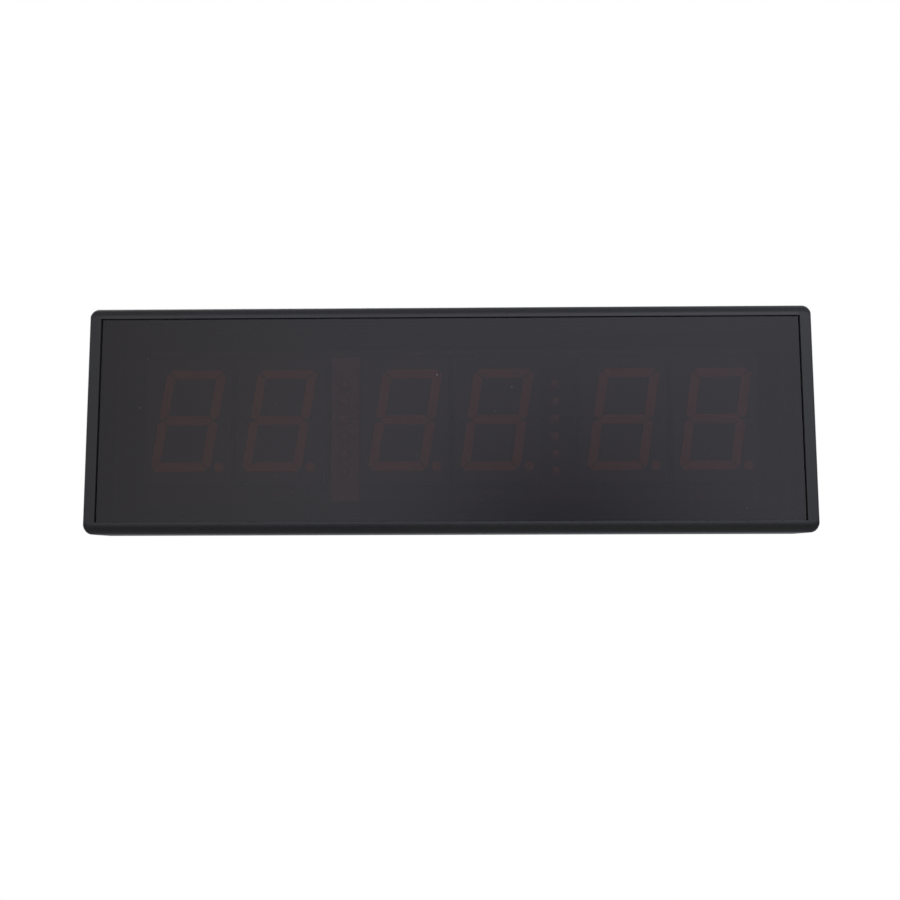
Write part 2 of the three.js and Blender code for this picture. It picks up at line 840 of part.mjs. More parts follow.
// The slider, ridged for a fingertip and resting at the off end of its travel.
function switchKnob() {
  const half = SWITCH.knobWidth / 2;
  const top = PANEL_OUTER + 1.3;
  const ridge = (x) => box([x - 0.25, top - 0.5, -5], [x + 0.25, top + 1, 5]);
  return cut(
    box([-half, knobFoot, -SWITCH.knobHeight / 2], [half, top, SWITCH.knobHeight / 2]),
    ridge(-0.8),
    ridge(0),
    ridge(0.8),
  );
}

place("power_switch_knob", switchKnob(), FINISH.knob, [
  SWITCH.x - SWITCH.travel / 2,
  0,
  SWITCH.z,
]);

export default timer;
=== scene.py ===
"""Looks for the gym round timer: materials, finely rounded case pieces, light and camera."""

import json
import math
import random

import bmesh
import bpy
from mathutils import Matrix, Vector


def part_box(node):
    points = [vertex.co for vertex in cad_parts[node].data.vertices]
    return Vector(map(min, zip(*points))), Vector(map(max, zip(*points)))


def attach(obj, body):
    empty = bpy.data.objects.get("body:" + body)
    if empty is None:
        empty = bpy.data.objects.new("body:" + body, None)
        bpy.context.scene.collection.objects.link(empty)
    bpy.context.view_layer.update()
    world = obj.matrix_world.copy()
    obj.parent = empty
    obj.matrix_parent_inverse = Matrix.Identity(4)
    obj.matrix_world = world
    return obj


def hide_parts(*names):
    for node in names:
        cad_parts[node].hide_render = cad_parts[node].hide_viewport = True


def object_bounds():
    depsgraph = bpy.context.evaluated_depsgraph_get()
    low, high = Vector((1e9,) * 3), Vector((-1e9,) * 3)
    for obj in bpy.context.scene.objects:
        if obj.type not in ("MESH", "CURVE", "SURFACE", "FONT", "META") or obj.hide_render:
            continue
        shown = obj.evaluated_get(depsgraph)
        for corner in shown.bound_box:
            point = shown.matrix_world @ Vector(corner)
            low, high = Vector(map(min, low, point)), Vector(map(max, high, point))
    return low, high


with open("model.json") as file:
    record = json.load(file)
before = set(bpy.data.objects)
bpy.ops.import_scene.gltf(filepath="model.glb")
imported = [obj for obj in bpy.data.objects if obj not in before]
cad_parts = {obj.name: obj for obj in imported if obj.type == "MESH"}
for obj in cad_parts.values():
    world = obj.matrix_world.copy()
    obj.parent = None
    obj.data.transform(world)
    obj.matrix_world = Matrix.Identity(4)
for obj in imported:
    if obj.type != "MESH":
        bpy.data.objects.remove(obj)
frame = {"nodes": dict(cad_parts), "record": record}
CAD_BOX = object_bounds()
NODES = frame["nodes"]
MM = 0.001

# Outer dimensions of the case, read from the frame, in millimetres.
LOW, HIGH = CAD_BOX[0] / MM, CAD_BOX[1] / MM
HALF_WIDTH = HIGH.x
HEIGHT = HIGH.z
FRONT, BACK = LOW.y, HIGH.y
MIDDLE = HEIGHT / 2
RAIL_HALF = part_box("top_rail")[1].x / MM
CAP_WIDTH = HALF_WIDTH - RAIL_HALF


def cad_box(node):
    """A CAD node's lowest and highest corners in millimetres."""
    low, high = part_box(node)
    return low / MM, high / MM


def cad_centre(node):
    low, high = cad_box(node)
    return (low + high) / 2


# ---------------------------------------------------------------- materials


class Graph:
    """Short ways to add and join shader nodes in one node tree."""

    def __init__(self, tree):
        self.tree = tree

    def add(self, kind, **settings):
        node = self.tree.nodes.new(kind)
        for key, value in settings.items():
            setattr(node, key, value)
        return node

    def put(self, value, socket):
        if hasattr(value, "is_output"):
            self.tree.links.new(value, socket)
        else:
            socket.default_value = value

    def math(self, operation, a, b=0.0, c=0.0):
        node = self.add("ShaderNodeMath", operation=operation)
        for value, socket in zip((a, b, c), node.inputs):
            self.put(value, socket)
        return node.outputs[0]

    def remap(self, value, low, high, to_low, to_high, curve="LINEAR"):
        node = self.add("ShaderNodeMapRange", interpolation_type=curve)
        self.put(value, node.inputs["Value"])
        limits = {"From Min": low, "From Max": high, "To Min": to_low, "To Max": to_high}
        for name, number in limits.items():
            self.put(number, node.inputs[name])
        return node.outputs["Result"]

    def mix(self, factor, a, b):
        node = self.add("ShaderNodeMix", data_type="RGBA")
        self.put(factor, node.inputs[0])
        self.put(a, node.inputs[6])
        self.put(b, node.inputs[7])
        return node.outputs[2]

    def choose(self, factor, a, b, output):
        """Sends shader a, or shader b where the factor is 1, to an output node."""
        node = self.add("ShaderNodeMixShader")
        self.put(factor, node.inputs[0])
        self.put(a.outputs[0], node.inputs[1])
        self.put(b.outputs[0], node.inputs[2])
        self.put(node.outputs[0], output.inputs["Surface"])

    def ramp(self, value, stops):
        """A grey level that follows straight lines between (value, level) stops."""
        node = self.add("ShaderNodeValToRGB")
        low, high = stops[0][0], stops[-1][0]
        self.put(self.remap(value, low, high, 0.0, 1.0), node.inputs["Fac"])
        elements = node.color_ramp.elements
        for at, level in stops[1:-1]:
            elements.new((at - low) / (high - low)).color = (level, level, level, 1.0)
        elements[0].color = (stops[0][1],) * 3 + (1.0,)
        elements[len(elements) - 1].color = (stops[-1][1],) * 3 + (1.0,)
        return node.outputs["Color"]

    def hump(self, a, a0, a_width, b, b0, b_width):
        """A smooth bump of height 1 at (a0, b0)."""
        across = self.math("DIVIDE", self.math("SUBTRACT", a, a0), a_width)
        along = self.math("DIVIDE", self.math("SUBTRACT", b, b0), b_width)
        square = self.math("MULTIPLY_ADD", along, along, self.math("MULTIPLY", across, across))
        return self.math("EXPONENT", self.math("MULTIPLY", square, -1.0))


class Nodes(Graph):
    """Builds a node material around one Principled shader."""

    def __init__(self, name, **values):
        self.material = bpy.data.materials.new(name)
        self.material.use_nodes = True
        super().__init__(self.material.node_tree)
        self.shader = self.tree.nodes["Principled BSDF"]
        self.position = self.add("ShaderNodeTexCoord").outputs["Object"]
        for socket, value in values.items():
            self.shader.inputs[socket.replace("_", " ")].default_value = value

    def stretched(self, scale):
        node = self.add("ShaderNodeMapping")
        self.put(self.position, node.inputs["Vector"])
        self.put(scale, node.inputs["Scale"])
        return node.outputs["Vector"]

    def noise(self, scale, detail=2.0, roughness=0.5, vector=None):
        node = self.add("ShaderNodeTexNoise")
        self.put(vector or self.position, node.inputs["Vector"])
        self.put(scale, node.inputs["Scale"])
        self.put(detail, node.inputs["Detail"])
        self.put(roughness, node.inputs["Roughness"])
        return node.outputs["Fac"]

    def bricks(self, scale, gap, vector):
        node = self.add("ShaderNodeTexBrick")
        self.put(vector, node.inputs["Vector"])
        self.put(scale, node.inputs["Scale"])
        self.put(gap, node.inputs["Mortar Size"])
        return node.outputs["Fac"]

    def axis(self, name):
        node = self.add("ShaderNodeSeparateXYZ")
        self.put(self.position, node.inputs[0])
        return node.outputs[name]

    def color(self, value):
        self.put(value, self.shader.inputs["Base Color"])

    def roughness(self, value):
        self.put(value, self.shader.inputs["Roughness"])

    def bump(self, height, strength, distance):
        node = self.add("ShaderNodeBump")
        self.put(strength, node.inputs["Strength"])
        self.put(distance, node.inputs["Distance"])
        self.put(height, node.inputs["Height"])
        self.put(node.outputs["Normal"], self.shader.inputs["Normal"])


def rgb(red, green, blue):
    return (red, green, blue, 1.0)


def case_finish(name, dark, light, roughness, **values):
    """Satin black with a fine orange peel and mottling at three sizes."""
    m = Nodes(name, **values)
    grain = m.noise(1250.0, detail=3.0, roughness=0.65)
    mottle = m.noise(300.0, detail=3.0, roughness=0.6)
    cloud = m.noise(24.0, detail=4.0)
    coarse = m.math("MULTIPLY_ADD", mottle, 0.3, m.math("MULTIPLY", cloud, 0.15))
    shade = m.math("MULTIPLY_ADD", grain, 0.55, coarse)
    m.color(m.mix(m.remap(shade, 0.38, 0.62, 0.0, 1.0), dark, light))
    m.roughness(m.remap(shade, 0.36, 0.64, roughness - 0.04, roughness + 0.06))
    m.bump(m.math("ADD", grain, mottle), 1.0, 0.024 * MM)
    return m.material


def textured(name, dark, light, roughness, grain, depth, **values):
    """Moulded plastic or powder coat: a fine grain, soft mottling and slightly uneven gloss."""
    m = Nodes(name, **values)
    fine = m.noise(grain, detail=3.0, roughness=0.6)
    broad = m.noise(grain / 60, detail=4.0)
    shade = m.math("MULTIPLY_ADD", fine, 0.45, m.math("MULTIPLY", broad, 0.55))
    m.color(m.mix(m.remap(shade, 0.35, 0.65, 0.0, 1.0), dark, light))
    m.roughness(m.remap(shade, 0.3, 0.7, roughness - 0.05, roughness + 0.07))
    m.bump(fine, 1.0, depth * MM)
    return m.material


def plated(name, dark, light, roughness):
    """Plated steel with fine directional scratches and a cloudy finish."""
    m = Nodes(name, Metallic=1.0)
    streaks = m.noise(900.0, detail=2.0, vector=m.stretched((0.12, 1.0, 1.0)))
    cloud = m.noise(160.0, detail=5.0, roughness=0.65)
    m.color(m.mix(cloud, dark, light))
    m.roughness(m.remap(m.math("ADD", streaks, cloud), 0.6, 1.4, roughness - 0.07, roughness + 0.12))
    m.bump(streaks, 0.5, 0.01 * MM)
    return m.material


def smoked_lens():
    """Dark acrylic that lets a little light through, with faint wipe marks and a hair on it."""
    m = Nodes("smoked_acrylic", IOR=1.49, Alpha=0.83)
    wipe = m.noise(26.0, detail=5.0, roughness=0.6, vector=m.stretched((0.35, 1.0, 1.0)))
    tint = m.mix(wipe, rgb(0.0050, 0.0034, 0.0038), rgb(0.0076, 0.0050, 0.0054))
    curl = m.noise(40.0, detail=1.0)
    # The hair's line, in metres: how it climbs, its height at X = 0, and where it starts and stops.
    slope, height, middle, half_length, half_width = 0.62, 0.1003, -0.1165, 0.0085, 0.00016
    rise = m.math("MULTIPLY_ADD", m.axis("X"), -slope, m.axis("Z"))
    away = m.math("MULTIPLY_ADD", curl, 0.004, m.math("SUBTRACT", rise, height))
    on_line = m.math("LESS_THAN", m.math("ABSOLUTE", away), half_width)
    hair = m.math("MULTIPLY", on_line, m.math("COMPARE", m.axis("X"), middle, half_length))
    m.color(m.mix(m.math("MULTIPLY", hair, 0.5), tint, rgb(0.002, 0.002, 0.002)))
    m.roughness(m.math("MULTIPLY_ADD", hair, 0.25, m.remap(wipe, 0.3, 0.7, 0.035, 0.075)))
    return m.material


def clear_back():
    """The lens's rear and edge faces, which add almost nothing to what shows through it."""
    m = Nodes("acrylic_rear", IOR=1.49, Alpha=0.03)
    haze = m.noise(90.0, detail=4.0)
    m.color(m.mix(haze, rgb(0.02, 0.012, 0.012), rgb(0.03, 0.018, 0.018)))
    m.roughness(m.remap(haze, 0.3, 0.7, 0.04, 0.12))
    return m.material


def laminate(name, dark, light, copper, roughness):
    """Circuit board: a woven base under solder mask, with raised tracks here and there."""
    m = Nodes(name)
    fibre = m.noise(1400.0, detail=3.0, vector=m.stretched((0.25, 1.0, 1.0)))
    upright = m.add("ShaderNodeMapping")
    m.put(m.position, upright.inputs["Vector"])
    m.put((math.radians(90.0), 0.0, 0.0), upright.inputs["Rotation"])
    lines = m.bricks(190.0, 0.055, upright.outputs["Vector"])
    track = m.math("MULTIPLY", lines, m.math("GREATER_THAN", m.noise(60.0), 0.50))
    m.color(m.mix(track, m.mix(fibre, dark, light), copper))
    m.roughness(m.remap(fibre, 0.3, 0.7, roughness - 0.06, roughness + 0.08))
    m.bump(track, 0.5, 0.05 * MM)
    return m.material


def cast_resin(name, dark, light):
    """Unlit segment: milky resin, cloudier where it cured unevenly."""
    m = Nodes(name, IOR=1.5)
    cloud = m.noise(120.0, detail=5.0, roughness=0.6)
    m.color(m.mix(m.remap(cloud, 0.3, 0.7, 0.0, 1.0), dark, light))
    m.roughness(m.remap(cloud, 0.3, 0.7, 0.4, 0.6))
    m.bump(cloud, 0.3, 0.03 * MM)
    return m.material


def led_epoxy(name, dark, light):
    """Tinted epoxy dome, a little cloudy and slightly rippled."""
    m = Nodes(name, IOR=1.5)
    cloud = m.noise(260.0, detail=3.0)
    m.color(m.mix(cloud, dark, light))
    m.roughness(m.remap(cloud, 0.3, 0.7, 0.12, 0.25))
    m.bump(cloud, 0.2, 0.02 * MM)
    return m.material


CASE_BLACK = (rgb(0.0085, 0.0085, 0.0090), rgb(0.0160, 0.0160, 0.0172))

MATERIALS = {
    "anodised_case": case_finish("anodised_case", *CASE_BLACK, 0.37),
    "bright_lip": case_finish("bright_lip", *CASE_BLACK, 0.35, Specular_IOR_Level=0.57),
    "black_abs": case_finish("black_abs", *CASE_BLACK, 0.39),
    "smoked_acrylic": smoked_lens(),
    "acrylic_rear": clear_back(),
    "black_screw": textured(
        "black_screw", rgb(0.010, 0.010, 0.011), rgb(0.022, 0.022, 0.024), 0.34, 1600.0, 0.015, Metallic=0.6
    ),
}
# Moulded and coated surfaces: darkest and lightest colour, roughness, grain's scale and depth in mm.
for name, dark, light, *finish in (
    ("panel_sheet", (0.012, 0.012, 0.013), (0.026, 0.026, 0.028), 0.5, 1500.0, 0.06),
    ("grey_housing", (0.110, 0.060, 0.064), (0.150, 0.085, 0.090), 0.6, 1500.0, 0.02),
    ("housing_side", (0.26, 0.23, 0.24), (0.34, 0.30, 0.31), 0.5, 1200.0, 0.02),
    ("network_body", (0.17, 0.060, 0.048), (0.25, 0.090, 0.070), 0.45, 1500.0, 0.02),
    ("black_component", (0.010, 0.010, 0.011), (0.02, 0.02, 0.022), 0.42, 2400.0, 0.02),
    ("white_connector", (0.62, 0.59, 0.50), (0.74, 0.71, 0.62), 0.45, 900.0, 0.02),
    ("knob_plastic", (0.008, 0.008, 0.009), (0.016, 0.016, 0.018), 0.45, 2600.0, 0.02),
    ("key_plastic", (0.20, 0.21, 0.22), (0.27, 0.28, 0.30), 0.5, 2200.0, 0.02),
    ("lead_sleeve", (0.22, 0.015, 0.012), (0.33, 0.03, 0.022), 0.4, 900.0, 0.02),
    ("dust", (0.55, 0.55, 0.54), (0.80, 0.80, 0.78), 0.9, 3000.0, 0.02),
):
    MATERIALS[name] = textured(name, rgb(*dark), rgb(*light), *finish)
# Circuit boards: the base's two colours, the tracks' colour, and roughness.
for name, dark, light, copper, gloss in (
    ("phenolic_board", (0.070, 0.034, 0.030), (0.095, 0.046, 0.040), (0.150, 0.070, 0.052), 0.5),
    # separator_board is painted far brighter than the dark board of the right separator: painted warm light
    # standing in for the lit left half of the display.
    ("separator_board", (0.60, 0.215, 0.165), (0.72, 0.265, 0.205), (0.78, 0.33, 0.24), 0.5),
    ("glass_epoxy_board", (0.010, 0.060, 0.022), (0.016, 0.085, 0.032), (0.03, 0.14, 0.05), 0.36),
):
    MATERIALS[name] = laminate(name, rgb(*dark), rgb(*light), rgb(*copper), gloss)
# Resins, epoxies and plated metals: their two colours, and the metals' roughness.
for make, name, dark, light, *gloss in (
    (cast_resin, "diffuser_resin", (0.84, 0.150, 0.070), (0.95, 0.215, 0.105)),
    (led_epoxy, "led_lens", (0.80, 0.17, 0.13), (0.94, 0.25, 0.18)),
    (led_epoxy, "receiver_epoxy", (0.20, 0.045, 0.040), (0.28, 0.07, 0.06)),
    (plated, "zinc_steel", (0.40, 0.41, 0.44), (0.56, 0.57, 0.60), 0.33),
    (plated, "nickel", (0.46, 0.44, 0.40), (0.62, 0.60, 0.55), 0.28),
):
    MATERIALS[name] = make(name, rgb(*dark), rgb(*light), *gloss)
SLOTS = {s["node"]: s["material_slot"] for s in frame["record"]["subparts"]}


# ---------------------------------------------------------------- mesh helpers


def flatten(piece):
    """Keeps large flat faces flat to the light where they run into rounded edges."""
    even = piece.modifiers.new("flat faces", "WEIGHTED_NORMAL")
    even.keep_sharp = True


def finish_mesh(name, bm, materials, body="case", replaces=(), smooth=38.0):
    """Turns a bmesh in millimetres into an object with crisp edges, hangs it under its body's empty, and
    hides the CAD parts it replaces.
    """
    bmesh.ops.remove_doubles(bm, verts=bm.verts, dist=1e-4)
    bmesh.ops.recalc_face_normals(bm, faces=bm.faces)
    for face in bm.faces:
        face.smooth = True
    for edge in bm.edges:
        if edge.is_manifold and edge.calc_face_angle() > math.radians(smooth):
            edge.smooth = False
    bm.transform(Matrix.Scale(MM, 4))
    mesh = bpy.data.meshes.new(name)
    bm.to_mesh(mesh)
    bm.free()
    for material in materials:
        mesh.materials.append(MATERIALS[material])
    piece = bpy.data.objects.new(name, mesh)
    bpy.context.scene.collection.objects.link(piece)
    flatten(piece)
    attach(piece, body)
    if replaces:
        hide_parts(*replaces)
    return piece


def around(sides):
    """Angles evenly round a full turn."""
    return [2 * math.pi * k / sides for k in range(sides)]


def skin(bm, loops, caps=True, material=0):
    """Joins successive rings of points with quads, and closes the first and last ring."""
    rings = [[bm.verts.new(p) for p in loop] for loop in loops]
    faces = []
    count = len(rings[0])
    for a, b in zip(rings, rings[1:]):
        for i in range(count):
            j = (i + 1) % count
            faces.append(bm.faces.new((a[i], a[j], b[j], b[i])))
    if caps:
        faces.append(bm.faces.new(list(reversed(rings[0]))))
        faces.append(bm.faces.new(rings[-1]))
    for face in faces:
        face.material_index = material
    return rings


def arc(centre, radii, start, end, steps):
    """Points on an elliptical arc, with the angles in degrees."""
    points = []
    for i in range(steps + 1):
        a = math.radians(start + (end - start) * i / steps)
        points.append((centre[0] + radii[0] * math.cos(a), centre[1] + radii[1] * math.sin(a)))
    return points


def rounded(corners, steps=4):
    """An outline whose corners, given as (x, y, radius), are turned with arcs."""
    out = []
    for i, (x, y, radius) in enumerate(corners):
        here = Vector((x, y))
        before = (Vector(corners[i - 1][:2]) - here).normalized()
        after = (Vector(corners[(i + 1) % len(corners)][:2]) - here).normalized()
        if radius <= 0:
            out.append((x, y))
            continue
        half = before.angle(after) / 2
        reach = radius / math.tan(half)
        start, end = here + before * reach, here + after * reach
        centre = here + (before + after).normalized() * (radius / math.sin(half))
        first = math.atan2(*(start - centre).yx)
        sweep = math.atan2(*(end - centre).yx) - first
        sweep = (sweep + math.pi) % (2 * math.pi) - math.pi
        for k in range(steps + 1):
            a = first + sweep * k / steps
            out.append((centre.x + radius * math.cos(a), centre.y + radius * math.sin(a)))
    return out


def rounded_box(x0, z0, x1, z1, radius, steps=4):
    return rounded([(x0, z0, radius), (x1, z0, radius), (x1, z1, radius), (x0, z1, radius)], steps)


def circle(x, z, radius, steps):
    return arc((x, z), (radius, radius), 0, 360 - 360 / steps, steps - 1)


def offset(outline, distance):
    """Moves a counter-clockwise outline outwards by a distance."""
    out = []
    for i, point in enumerate(outline):
        here = Vector(point)
        a = here - Vector(outline[i - 1])
        b = Vector(outline[(i + 1) % len(outline)]) - here
        normals = [Vector((e.y, -e.x)).normalized() for e in (a, b) if e.length > 1e-6]
        middle = sum(normals, Vector((0, 0))).normalized()
        scale = 1 / max(0.5, middle.dot(normals[0]))
        out.append(tuple(here + middle * distance * scale))
    return out


def quarter(edge, steps=3):
    """(depth, inset) pairs round a quarter-circle edge, from its rim inwards to full size."""
    turns = [math.radians(90 * k / steps) for k in range(steps + 1)]
    return [(edge * (1 - math.cos(t)), edge * (1 - math.sin(t))) for t in turns]


def ring_of(outline, y):
    return [(x, y, z) for x, z in outline]


def ring_edges(bm, ring):
    """The edges that join a ring of vertices."""
    return [bm.edges.get((vert, ring[(i + 1) % len(ring)])) for i, vert in enumerate(ring)]


def fill_between(bm, rings):
    """One flat face with holes, closed over rings that lie across Y."""
    edges = [edge for ring in rings for edge in ring_edges(bm, ring)]
    bmesh.ops.triangle_fill(bm, use_beauty=True, edges=edges, normal=(0, 1, 0))


def edge_loops(outline, front, rear, steps, sign):
    """Rings from a sheet's front face over its edge to its rear face."""
    fronts = [ring_of(offset(outline, sign * inset), front + depth) for depth, inset in steps]
    rears = [ring_of(offset(outline, sign * inset), rear - depth) for depth, inset in reversed(steps)]
    return fronts + rears


def slab(bm, outer, holes, front, rear, edge):
    """A sheet across Y with rounded edges all round, pierced by holes."""
    steps = quarter(edge)
    ends = [], []
    for outline, sign in [(outer, -1)] + [(hole, 1) for hole in holes]:
        rings = skin(bm, edge_loops(outline, front, rear, steps, sign), caps=False)
        ends[0].append(rings[0])
        ends[1].append(rings[-1])
    for rings in ends:
        fill_between(bm, rings)


def pad(bm, outline, front, rear, edge):
    """A solid block across Y with rounded edges."""
    skin(bm, edge_loops(outline, front, rear, quarter(edge), -1))


def turned(bm, profile, x, z, sides, material=0):
    """A turned shape about an axis along Y, from (radius, y) pairs; the ends are closed."""
    loops = []
    for radius, y in profile:
        r = max(radius, 0.01)
        loops.append([(x + r * math.cos(t), y, z + r * math.sin(t)) for t in around(sides)])
    skin(bm, loops, material=material)


# ---------------------------------------------------------------- case


NOSE = (5.0, 5.6)  # the rounded front edge: front to back, and up from the underside
LIP = 6.45
REAR_RADIUS = 2.0
CHANNEL = (1.0, 8.5)  # screw channel's centre in (y, z)
CAP_CORNER = (4.0, 3.5)


def rail_outline():
    """The extrusion's section in (y, z), lying along the underside."""
    floor, slot, rib = 2.0, 3.6, 5.6
    lens, panel = FRONT + 1.3, BACK - 1.5
    lens_slot, panel_slot, rib_width = 3.4, 2.0, 1.2
    foot = 1.2  # half of the boss where it meets the floor
    rear_wall = [
        (BACK, LIP, 0.25),
        (panel, LIP, 0.25),
        (panel, slot, 0),
        (panel - panel_slot, slot, 0),
        (panel - panel_slot, rib, 0.2),
        (panel - panel_slot - rib_width, rib, 0.2),
        (panel - panel_slot - rib_width, floor, 0.4),
        (CHANNEL[0] + foot, floor, 0.4),
    ]
    front_wall = [
        (CHANNEL[0] - foot, floor, 0.4),
        (lens + lens_slot + rib_width, floor, 0.4),
        (lens + lens_slot + rib_width, rib, 0.2),
        (lens + lens_slot, rib, 0.2),
        (lens + lens_slot, slot, 0),
        (lens, slot, 0),
        (lens, LIP, 0.12),
        (FRONT, LIP, 0.12),
    ]
    # Each wall is rounded between one point before it and one after it, which are then dropped.
    behind = rounded([(BACK, 3.0, 0)] + rear_wall + [(CHANNEL[0] + foot, 5.0, 0)])[1:-1]
    ahead = rounded([(CHANNEL[0] - foot, 5.0, 0)] + front_wall + [(FRONT, 5.9, 0)])[1:-1]
    wide, bore = (3.2, 3.2), (1.45, 1.45)
    boss = arc(CHANNEL, wide, -68, 76, 14)
    boss += arc(CHANNEL, bore, 60, -240, 20)
    boss += arc(CHANNEL, wide, 104, 248, 14)
    nose = arc((FRONT + NOSE[0], NOSE[1]), NOSE, 180, 270, 18)
    rear = arc((BACK - REAR_RADIUS, REAR_RADIUS), (REAR_RADIUS, REAR_RADIUS), -90, 0, 8)
    return nose + rear + behind + boss + ahead


def rail(node, top):
    """A rail with broken cut ends, and a brighter narrow face beside the lens."""
    bm = bmesh.new()
    section = rail_outline()
    broken = 0.03
    centre = Vector((0.0, 4.0))
    left_end = [(-RAIL_HALF, broken), (broken - RAIL_HALF, 0.0)]
    right_end = [(RAIL_HALF - broken, 0.0), (RAIL_HALF, broken)]
    loops = []
    for x, inset in left_end + right_end:
        loop = []
        for y, z in section:
            pull = (centre - Vector((y, z))).normalized() * inset if z < LIP else Vector((0, 0))
            loop.append((x, y + pull.x, HEIGHT - z - pull.y if top else z + pull.y))
        loops.append(loop)
    skin(bm, loops)
    lip_start, lip_depth = NOSE[1] - 1.6, 0.25
    for face in bm.faces:
        middle = face.calc_center_median()
        height = HEIGHT - middle.z if top else middle.z
        if len(face.verts) == 4 and middle.y < FRONT + lip_depth and lip_start < height < LIP:
            face.material_index = 1
    finish_mesh(f"{node}_skin", bm, ["anodised_case", "bright_lip"], replaces=[node])


def edge_inset(distance, radius):
    """How far a quarter-round edge has pulled in at a distance from where it starts."""
    t = min(max(distance / radius, 0.0), 1.0)
    return radius * (1 - math.sqrt(max(1 - t * t, 0.0)))


def screw_seats(bm, side):
    """Sinks the two countersunk seats into the flat end of a cap."""
    plane = side * HALF_WIDTH
    near = 1e-4
    flat = [face for face in bm.faces if all(abs(vert.co.x - plane) < near for vert in face.verts)]
    bmesh.ops.delete(bm, geom=flat, context="FACES")
    border = [edge for edge in bm.edges if edge.is_boundary]
    seat = ((3.3, 0.0), (3.2, 0.06), (3.17, 0.35), (1.6, 1.8), (1.5, 2.2))  # radius and depth
    for level in ("lower", "upper"):
        at = cad_centre(f"{'right' if side > 0 else 'left'}_cap_screw_{level}")
        loops = []
        for radius, depth in seat:
            ring = circle(at.y, at.z, radius, 48)
            loops.append([(plane - side * depth, y, z) for y, z in ring])
        rings = skin(bm, loops, caps=False)
        bm.faces.new(rings[-1])
        border += ring_edges(bm, rings[0])
    bmesh.ops.triangle_fill(bm, use_beauty=True, edges=border, normal=(side, 0, 0))


def end_cap(node, side):
    """A moulded cap whose rounded front runs on from the rails and turns the corners smoothly."""
    outer_front, outer_rear, inner = 1.3, 1.2, 0.05
    tighter_x, tighter_z = 0.6, 0.2  # how much the corners tighten as each edge pulls in
    stations = {FRONT + depth for edge in (NOSE[0], outer_front) for depth, _ in quarter(edge, 12)}
    stations |= {FRONT + depth for depth, _ in quarter(inner, 4)}
    stations |= {BACK - depth for depth, _ in quarter(REAR_RADIUS, 12)}
    loops = []
    for y in sorted(stations):
        nose = edge_inset(FRONT + NOSE[0] - y, NOSE[0]) * NOSE[1] / NOSE[0]
        z_in = nose + edge_inset(y - BACK + REAR_RADIUS, REAR_RADIUS)
        x_out = edge_inset(FRONT + outer_front - y, outer_front)
        x_out += edge_inset(y - BACK + outer_rear, outer_rear)
        x_in = edge_inset(FRONT + inner - y, inner)
        outside = CAP_WIDTH - x_out
        corner = (CAP_CORNER[0] - tighter_x * x_out, CAP_CORNER[1] - tighter_z * z_in)
        low, high = z_in, HEIGHT - z_in
        outline = [(x_in, low)]
        outline += arc((outside - corner[0], low + corner[1]), corner, -90, 0, 14)
        outline += [(outside, MIDDLE)]
        outline += arc((outside - corner[0], high - corner[1]), corner, 0, 90, 14)
        outline += [(x_in, high)]
        loops.append([(side * (RAIL_HALF + x), y, z) for x, z in outline])
    bm = bmesh.new()
    skin(bm, loops)
    screw_seats(bm, side)
    finish_mesh(f"{node}_skin", bm, ["black_abs"], replaces=[node])


def lens():
    """A flat pane with softly broken edges, dark on its front face only."""
    low, high = cad_box("front_lens")
    bm = bmesh.new()
    pad(bm, rounded_box(low.x, low.z, high.x, high.z, 0.4), low.y, high.y, 0.25)
    piece = finish_mesh(
        "front_lens_pane",
        bm,
        ["smoked_acrylic", "acrylic_rear"],
        replaces=["front_lens"],
        smooth=20.0,
    )
    for face in piece.data.polygons:
        face.material_index = 0 if face.normal.y < -0.9 else 1


# The specks that show in the photograph, as (x, z, half width, half height).
LARGE_SPECKS = [
    (-6.7, 87.3, 0.24, 0.30),
    (34.6, 80.3, 0.17, 0.17),
    (25.2, 67.0, 0.12, 0.12),
    (-170.9, 69.6, 0.14, 0.11),
    (-167.3, 97.1, 0.12, 0.13),
    (161.3, 13.2, 0.13, 0.10),
]


def dust(count):
    """Specks of dust lying on the lens, each a tiny low-sided crumb."""
    rng = random.Random(7)
    face = cad_box("front_lens")[0].y
    spread = ((-186, 186), (12, 116), (0.05, 0.10), (0.05, 0.10))
    specks = LARGE_SPECKS + [tuple(rng.uniform(*limits) for limits in spread) for _ in range(count)]
    bm = bmesh.new()
    for x, z, wide, tall in specks:
        shape = []
        for t in around(7):
            far = rng.uniform(0.75, 1.1)
            shape.append((x + wide * far * math.cos(t), z + tall * far * math.sin(t)))
        small = min(wide, tall)
        thick = 0.6 * small
        foot = ring_of(shape, face - 0.005)
        shoulder = ring_of(offset(shape, -0.3 * thick), face - 0.6 * thick)
        crown = ring_of(offset(shape, -0.7 * small), face - thick)
        skin(bm, [foot, shoulder, crown])
    finish_mesh("lens_dust", bm, ["dust"])


# ---------------------------------------------------------------- display


DIGIT = {
    "half_width": 16.6,
    "half_height": 28.5,
    "stroke": 5.2,
    "gap": 0.27,
    "chamfer": 3.0,
    "corner": 0.22,
    "slant": math.tan(math.radians(8.5)),
    "dot": (17.4, -26.0, 2.7),
}


